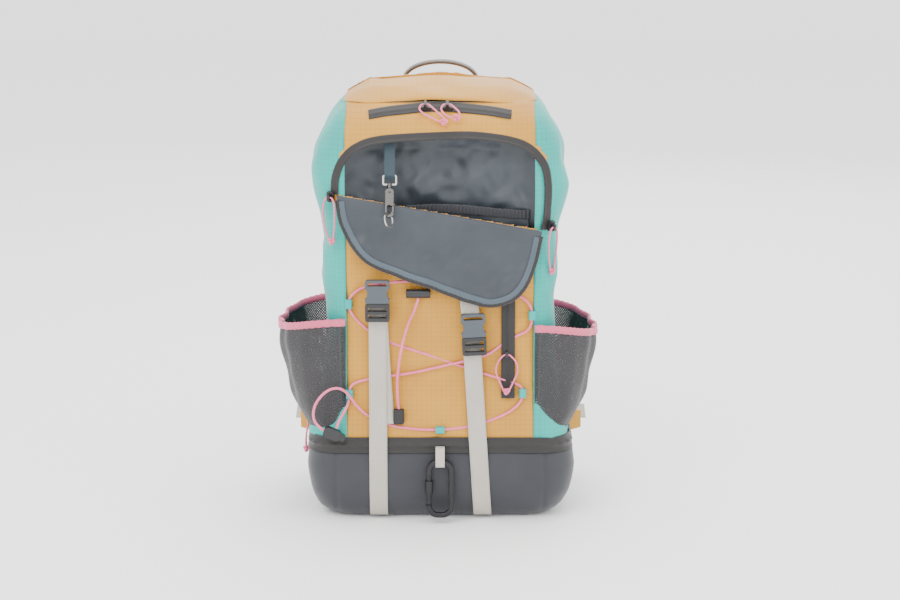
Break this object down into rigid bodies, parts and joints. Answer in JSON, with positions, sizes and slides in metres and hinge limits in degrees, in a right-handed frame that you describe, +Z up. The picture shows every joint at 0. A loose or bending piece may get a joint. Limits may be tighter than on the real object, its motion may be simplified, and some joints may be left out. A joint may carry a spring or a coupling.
{
  "type": "hiking daypack",
  "caption": "Soft daypack with a zipped front pocket hanging open, elastic lacing, front straps with buckles, mesh side pockets and a snap-hook key leash.",
  "frame": {"origin": "on the ground under the middle of the pack's base", "axes": "+Z up, -Y the front with the open pocket, +X the wearer's left as seen from the front"},
  "size_m": [0.358, 0.278, 0.503],
  "materials": {
    "yellow_fabric": "light ripstop nylon, matte",
    "teal_fabric": "light ripstop nylon, slight sheen",
    "slate_fabric": "heavier plain-weave nylon, matte",
    "black_fabric": "coated woven tape, matte",
    "lining_fabric": "thin coated lining, satin",
    "mesh_fabric": "open stretch mesh, matte",
    "grey_webbing": "flat woven webbing",
    "slate_webbing": "flat woven tape",
    "pink_cord": "braided round cord",
    "pink_binding": "folded elastic binding",
    "teal_webbing": "ribbed narrow webbing",
    "padding": "spacer mesh over foam",
    "black_plastic": "moulded acetal, satin",
    "grey_plastic": "moulded acetal, satin",
    "black_rubber": "moulded rubber, matte",
    "black_aluminium": "black anodised aluminium",
    "dark_steel": "black nickel plated zinc",
    "bright_steel": "nickel plated steel",
    "stiff_sheet": "polyethylene sheet"
  },
  "bodies": {
    "pack": {"back_panel": "padding", "base_tub": "slate_fabric", "base_zip_band": "black_fabric", "bungee_cord": "pink_cord", "center_bungee": "pink_cord", "compartment_floor": "lining_fabric", "cord_end_cap": "black_rubber", "cord_lock_body": "black_plastic", "cord_loops": "teal_webbing", "cord_toggle": "black_plastic", "frame_sheet": "stiff_sheet", "front_buckle_females": "grey_plastic", "front_lower_panel": "yellow_fabric", "front_pocket_lining": "lining_fabric", "front_straps": "grey_webbing", "front_upper_panel": "yellow_fabric", "gear_loop": "grey_webbing", "harness_webbing": "grey_webbing", "hood_yoke": "yellow_fabric", "key_tab": "slate_webbing", "laptop_sleeve": "lining_fabric", "mesh_pocket_left": "mesh_fabric", "mesh_pocket_right": "mesh_fabric", "organizer_pocket": "lining_fabric", "pocket_bindings": "pink_binding", "shoulder_straps": "padding", "side_panel_left": "teal_fabric", "side_panel_right": "teal_fabric", "sternum_buckle_female": "black_plastic", "strap_ladder_locks": "black_plastic", "strap_wings": "yellow_fabric", "zip_tapes": "black_fabric"},
    "hood": {"hood": "yellow_fabric"},
    "front_flap": {"front_flap": "lining_fabric"},
    "pocket_left_zip_runner": {"pocket_left_slider": "black_plastic", "pocket_left_pull": "pink_cord"},
    "pocket_right_zip_runner": {"pocket_right_slider": "black_plastic", "pocket_right_pull": "pink_cord"},
    "main_left_zip_runner": {"main_left_slider": "black_plastic", "main_left_pull": "pink_cord"},
    "main_right_zip_runner": {"main_right_slider": "black_plastic", "main_right_pull": "pink_cord"},
    "side_zip_runner": {"side_zip_slider": "black_plastic", "side_zip_pull": "pink_cord"},
    "base_zip_runner": {"base_zip_slider": "black_plastic", "base_zip_pull": "pink_cord"},
    "front_male_left": {"front_buckle_male_left": "black_plastic"},
    "front_male_right": {"front_buckle_male_right": "black_plastic"},
    "sternum_male": {"sternum_buckle_male": "black_plastic", "sternum_webbing": "grey_webbing"},
    "carry_handle": {"carry_handle": "padding"},
    "carabiner": {"carabiner_body": "black_aluminium"},
    "carabiner_gate": {"carabiner_gate": "black_aluminium"},
    "carabiner_sleeve": {"carabiner_sleeve": "black_aluminium"},
    "key_clip": {"key_d_ring": "bright_steel", "key_swivel": "dark_steel"},
    "key_hook": {"key_hook": "dark_steel"},
    "key_trigger": {"key_trigger": "dark_steel"},
    "split_ring": {"split_ring": "bright_steel"},
    "cord_lock_button": {"cord_lock_button": "black_plastic"}
  },
  "joints": [
    {"name": "hood_hinge", "type": "hinge", "parent": "pack", "child": "hood", "pos_m": [0, 0.07, 0.482], "axis": [-1, 0, 0], "range_deg": [0, 75]},
    {"name": "front_flap_hinge", "type": "hinge", "parent": "pack", "child": "front_flap", "pos_m": [-0.113, -0.0892, 0.371], "axis": [-0.9846, 0, 0.175], "range_deg": [0, 170]},
    {"name": "key_clip_fold", "type": "hinge", "parent": "pack", "child": "key_clip", "pos_m": [-0.055, -0.0803, 0.39085], "axis": [-1, 0, 0], "range_deg": [0, 137]},
    {"name": "key_hook_swivel", "type": "hinge", "parent": "key_clip", "child": "key_hook", "pos_m": [-0.055, -0.0835, 0.384], "axis": [0, -0.4695, -0.8829], "continuous": true},
    {"name": "key_trigger_hinge", "type": "hinge", "parent": "key_hook", "child": "key_trigger", "pos_m": [-0.0511, -0.09674, 0.3591], "axis": [0, 0.8829, -0.4695], "range_deg": [0, 15], "stiffness_Nm_per_rad": 0.05},
    {"name": "split_ring_swing", "type": "hinge", "parent": "key_hook", "child": "split_ring", "pos_m": [-0.055, -0.10064, 0.35177], "axis": [0, -0.8829, 0.4695], "range_deg": [-12, 12]},
    {"name": "main_left_slide", "type": "slide", "parent": "pack", "child": "main_left_zip_runner", "axis": [-1, 0, 0], "range_m": [0, 0.045]},
    {"name": "main_right_slide", "type": "slide", "parent": "pack", "child": "main_right_zip_runner", "axis": [1, 0, 0], "range_m": [0, 0.055]},
    {"name": "pocket_left_slide", "type": "slide", "parent": "pack", "child": "pocket_left_zip_runner", "axis": [-0.1, -0.04, 0.9942], "range_m": [0, 0.02]},
    {"name": "pocket_right_slide", "type": "slide", "parent": "pack", "child": "pocket_right_zip_runner", "axis": [0.1803, -0.0601, 0.9818], "range_m": [0, 0.02]},
    {"name": "side_zip_slide", "type": "slide", "parent": "pack", "child": "side_zip_runner", "axis": [0, 0.0632, 0.998], "range_m": [-0.014, 0.003]},
    {"name": "base_zip_slide", "type": "slide", "parent": "pack", "child": "base_zip_runner", "axis": [0, 1, 0], "range_m": [-0.03, 0.02]},
    {"name": "front_buckle_left_release", "type": "slide", "parent": "pack", "child": "front_male_left", "axis": [0, 0, -1], "range_m": [0, 0.028]},
    {"name": "front_buckle_right_release", "type": "slide", "parent": "pack", "child": "front_male_right", "axis": [0.0517, -0.03, -0.9982], "range_m": [0, 0.028]},
    {"name": "sternum_buckle_release", "type": "slide", "parent": "pack", "child": "sternum_male", "axis": [1, 0, 0], "range_m": [0, 0.028]},
    {"name": "handle_fold", "type": "hinge", "parent": "pack", "child": "carry_handle", "pos_m": [0, 0.0845, 0.469], "axis": [-1, 0, 0], "range_deg": [0, 70]},
    {"name": "carabiner_swing", "type": "hinge", "parent": "pack", "child": "carabiner", "pos_m": [0, -0.1011, 0.0714], "axis": [-1, 0, 0], "range_deg": [0, 100]},
    {"name": "carabiner_gate_hinge", "type": "hinge", "parent": "carabiner", "child": "carabiner_gate", "pos_m": [-0.0125, -0.1011, 0.0256], "axis": [0, 1, 0], "range_deg": [0, 15], "stiffness_Nm_per_rad": 0.3},
    {"name": "carabiner_sleeve_screw", "type": "slide", "parent": "carabiner_gate", "child": "carabiner_sleeve", "axis": [0, 0, 1], "range_m": [-0.01, 0.005]},
    {"name": "cord_lock_press", "type": "slide", "parent": "pack", "child": "cord_lock_button", "axis": [-0.9205, 0, 0.3907], "range_m": [0, 0.0045], "stiffness_N_per_m": 400}
  ],
  "couplings": [
    {"joint": "key_clip_fold", "follows": "front_flap_hinge", "ratio": 0.8}
  ]
}
